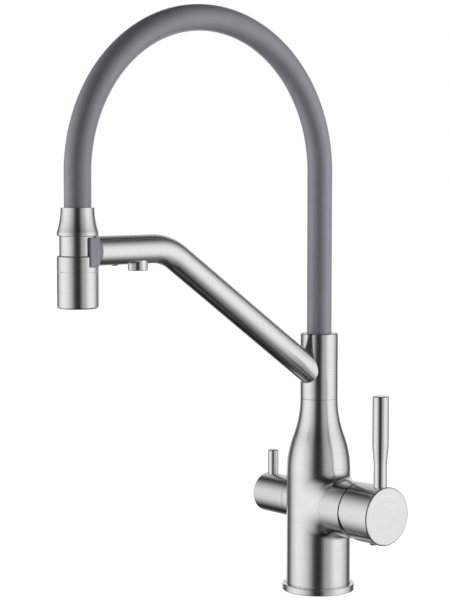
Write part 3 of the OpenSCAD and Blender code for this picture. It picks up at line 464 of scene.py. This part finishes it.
# Dock clip: a band with rounded edges round the neck of the head, and a plug that meets the arm
def dock_clip(name, mat, around=96, rows=20, edge=0.0007, corner=7):
    mid_z = (CLIP_Z0 + CLIP_Z1) / 2
    half_h = (CLIP_Z1 - CLIP_Z0) / 2
    flat = half_h - edge

    def outside(turn):
        # the back of the band is flat, where the arm meets it
        back = math.sin(turn)
        return min(CLIP_BAND_R, ARM_FACE / back) if back > 0 else CLIP_BAND_R

    def section(turn):
        out = outside(turn)
        soft = min(edge, (out - CLIP_R) / 2)
        points = [(out, mid_z + flat * (2 * i / rows - 1)) for i in range(1, rows)]
        for r, z, start in ((out - soft, mid_z + flat, 0), (CLIP_R + soft, mid_z + flat, 90),
                            (CLIP_R + soft, mid_z - flat, 180), (out - soft, mid_z - flat, 270)):
            for i in range(corner):
                a = math.radians(start + 90 * i / (corner - 1))
                points.append((r + soft * math.cos(a), z + edge * math.sin(a)))
        return points

    # sections along the band; near both ends they draw in to a rounded edge
    first, last = math.radians(-CLIP_WRAP), math.radians(180 + CLIP_WRAP)
    step = edge / CLIP_BAND_R
    turns = []
    for i in range(corner):
        a = math.pi / 2 * i / (corner - 1)
        turns.append((first + step * (1 - math.cos(a)), 1 - math.sin(a)))
    for i in range(1, around):
        turns.append((first + step + (last - first - 2 * step) * i / around, 0.0))
    for i in range(corner):
        a = math.pi / 2 * i / (corner - 1)
        turns.append((last - step * (1 - math.sin(a)), 1 - math.cos(a)))
    verts, faces = [], []
    n = len(section(first))
    for turn, shrink in turns:
        for r, z in section(turn):
            r2 = CLIP_R + (r - CLIP_R) * (1 - shrink * edge / (outside(turn) - CLIP_R))
            z2 = mid_z + (z - mid_z) * (1 - shrink * edge / half_h)
            verts.append((r2 * math.cos(turn), -REACH + r2 * math.sin(turn), z2))
    for i in range(len(turns) - 1):
        for k in range(n):
            j = (k + 1) % n
            faces.append((i * n + k, (i + 1) * n + k, (i + 1) * n + j, i * n + j))
    faces.append(tuple(range(n)))
    faces.append(tuple(range((len(turns) - 1) * n, len(turns) * n))[::-1])
    # the plug carries on the round of the arm
    start = len(verts)
    plug_r = ARM_R - PLUG_UNDER
    plug_top = CLIP_Z1 - ARM_Z - PLUG_UNDER
    for k in range(around):
        a = 2 * math.pi * k / around
        x, z = plug_r * math.cos(a), min(plug_r * math.sin(a), plug_top)
        for y in (math.sqrt((CLIP_R + PLUG_IN) ** 2 - x ** 2), ARM_FACE):
            verts.append((x, -REACH + y, ARM_Z + z))
    for k in range(around):
        j = (k + 1) % around
        faces.append((start + 2 * k, start + 2 * k + 1, start + 2 * j + 1, start + 2 * j))
    return add(name, verts, faces, mat)


clip = dock_clip("dock_clip", grey_silicone)
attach(clip, "spout")
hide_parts("head_clip")

# Stage: a plain pale floor that keeps a faint shadow
FLOOR_HALF = 20.0
t = Tree("floor")
out = t.nt.nodes["Material Output"]
paper = t.node("ShaderNodeBsdfDiffuse")
paper.inputs["Color"].default_value = (0.45, 0.45, 0.45, 1)
shade = t.node("ShaderNodeBsdfDiffuse")
shade.inputs["Color"].default_value = (0.3, 0.3, 0.3, 1)
glow = t.node("ShaderNodeEmission")
glow.inputs["Strength"].default_value = 0.93
lit = t.node("ShaderNodeAddShader")
t.join(shade.outputs[0], lit.inputs[0])
t.join(glow.outputs[0], lit.inputs[1])
rays = t.node("ShaderNodeLightPath")
seen = t.math("MAXIMUM", t.math("MAXIMUM", rays.outputs["Is Camera Ray"], rays.outputs["Is Glossy Ray"]),
              rays.outputs["Is Transmission Ray"])
pick = t.node("ShaderNodeMixShader")
t.join(seen, pick.inputs[0])
t.join(paper.outputs[0], pick.inputs[1])
t.join(lit.outputs[0], pick.inputs[2])
t.join(pick.outputs[0], out.inputs["Surface"])
corners = [(x * FLOOR_HALF, y * FLOOR_HALF, 0) for x, y in ((-1, -1), (1, -1), (1, 1), (-1, 1))]
floor = add("floor", corners, [(0, 1, 2, 3)], t.mat)
floor.visible_glossy = False

# World: white where it is seen or mirrored, dimmer as a source of light
world = bpy.data.worlds.new("studio")
scene.world = world
world.use_nodes = True
nt = world.node_tree
back = nt.nodes["Background"]
back.inputs["Color"].default_value = (1, 1, 1, 1)
rays = nt.nodes.new("ShaderNodeLightPath")
seen = nt.nodes.new("ShaderNodeMath")
seen.operation = "MAXIMUM"
seen_or_through = nt.nodes.new("ShaderNodeMath")
seen_or_through.operation = "MAXIMUM"
level = nt.nodes.new("ShaderNodeMapRange")
level.inputs["To Min"].default_value = 0.4
level.inputs["To Max"].default_value = 1.0
nt.links.new(rays.outputs["Is Camera Ray"], seen.inputs[0])
nt.links.new(rays.outputs["Is Glossy Ray"], seen.inputs[1])
nt.links.new(seen.outputs[0], seen_or_through.inputs[0])
nt.links.new(rays.outputs["Is Transmission Ray"], seen_or_through.inputs[1])
nt.links.new(seen_or_through.outputs[0], level.inputs["Value"])
nt.links.new(level.outputs[0], back.inputs["Strength"])

# Light tent: bright walls at both sides and behind, dark towards the camera, above, and in the gaps.
# Each pair is an angle in degrees and the brightness there. RIGHT and LEFT go from the camera's side
# round to the back, and the other three go from straight down to straight up
CAM_SIDE = math.atan2(cam.location.y, cam.location.x)
TENT_R = 1.4
TENT_AT = Vector((0, 0, 0.2))
RIGHT = (
    (0, 0.035), (7, 0.04), (15, 0.16), (22, 0.36), (30, 0.46), (40, 0.55), (52, 0.82), (62, 0.98),
    (88, 0.98), (98, 0.82), (110, 0.66), (118, 0.52), (126, 0.27), (134, 0.11), (147, 0.10),
    (156, 0.8), (164, 1), (180, 1))
LEFT = (
    (0, 0.035), (9, 0.04), (17, 0.10), (26, 0.34), (38, 0.62), (52, 0.84), (66, 0.98), (84, 0.98),
    (98, 0.82), (108, 0.62), (114, 0.44), (121, 0.21), (128, 0.11), (141, 0.11), (151, 0.8),
    (159, 1), (180, 1))
LEFT_UP = (
    (-90, 0.08), (-54, 0.09), (-46, 0.38), (-36, 0.70), (-24, 0.95), (-10, 1), (6, 1), (15, 0.92),
    (25, 0.75), (36, 0.49), (46, 0.18), (60, 0.05), (90, 0.05))
RIGHT_UP = (
    (-90, 0.18), (-78, 0.25), (-64, 0.33), (-48, 0.56), (-36, 0.78), (-24, 0.95), (-10, 1), (8, 1),
    (15, 0.96), (25, 0.86), (36, 0.66), (46, 0.42), (60, 0.14), (90, 0.06))
BACK_UP = (
    (-90, 0.05), (-50, 0.05), (-38, 0.13), (-28, 0.42), (-15, 0.95), (0, 0.86), (10, 0.76),
    (20, 0.68), (30, 0.6), (38, 0.44), (46, 0.22), (60, 0.08), (90, 0.05))
# the edges of the gaps lean, in degrees round for each degree above or below this height
LEVEL_UP = 12
RIGHT_LEAN = (-0.05, 0.3)
LEFT_LEAN = (-0.1, -0.2)
LEAN_FROM = 60
# the side walls give way to the back wall between these turns
BACK_FROM = 130
BACK_OVER = 15


def stops(x, points):
    for (x0, y0), (x1, y1) in zip(points, points[1:]):
        if x <= x1:
            return y0 + (y1 - y0) * (x - x0) / (x1 - x0)
    return points[-1][1]


def tent_level(right, up):
    turns, heights, leans = (RIGHT, RIGHT_UP, RIGHT_LEAN) if right > 0 else (LEFT, LEFT_UP, LEFT_LEAN)
    side = abs(right)
    if side > LEAN_FROM:
        lean = leans[0] if up > 0 else leans[1]
        side = min(180.0, side + lean * max(0.0, abs(up) - LEVEL_UP))
    behind = min(1.0, max(0.0, (abs(right) - BACK_FROM) / BACK_OVER))
    return stops(side, turns) * ((1 - behind) * stops(up, heights) + behind * stops(up, BACK_UP))


# Direction to a place in the tent, from degrees to the right of the camera's side and degrees up
def towards(right, up):
    a, b = CAM_SIDE + math.radians(right), math.radians(up)
    return Vector((math.cos(a) * math.cos(b), math.sin(a) * math.cos(b), math.sin(b)))


t = Tree("light_tent")
wall = t.node("ShaderNodeEmission")
wall.inputs["Color"].default_value = (1, 1, 1, 1)
glow = t.node("ShaderNodeAttribute", attribute_name="glow")
t.join(glow.outputs["Fac"], wall.inputs["Strength"])
t.join(wall.outputs[0], t.nt.nodes["Material Output"].inputs["Surface"])
t.mat.cycles.emission_sampling = "NONE"
verts, faces, levels = [], [], []
ROUND, HIGH = 180, 90
for i in range(ROUND):
    for j in range(HIGH + 1):
        right = -180 + 360 * i / ROUND
        up = -90 + 180 * j / HIGH
        verts.append(TENT_AT + TENT_R * towards(right, up))
        levels.append(tent_level(right, up))
for i in range(ROUND):
    for j in range(HIGH):
        a = i * (HIGH + 1) + j
        b = (i + 1) % ROUND * (HIGH + 1) + j
        faces.append((a, a + 1, b + 1, b))
mesh = bpy.data.meshes.new("light_tent")
mesh.from_pydata(verts, [], faces)
mesh.attributes.new("glow", "FLOAT", "POINT").data.foreach_set("value", levels)
mesh.materials.append(t.mat)
tent = bpy.data.objects.new("light_tent", mesh)
scene.collection.objects.link(tent)
tent.visible_camera = False


# Two square soft boxes at the sides, inside the tent
LAMP_TARGET = Vector((0, -0.1, 0.24))
LAMP_DISTANCE = 1.1
LAMP_SIZE = 0.5


def lamp(name, right, power):
    data = bpy.data.lights.new(name, "AREA")
    data.shape = "RECTANGLE"
    data.size = LAMP_SIZE
    data.size_y = LAMP_SIZE
    data.energy = power
    obj = bpy.data.objects.new(name, data)
    scene.collection.objects.link(obj)
    d = towards(right, 0)
    obj.location = LAMP_TARGET + LAMP_DISTANCE * d
    obj.rotation_mode = "QUATERNION"
    obj.rotation_quaternion = (-d).to_track_quat("-Z", "Y")
    obj.visible_glossy = False


lamp("softbox_left", -89, 7.6)
lamp("softbox_right", 87, 7.3)
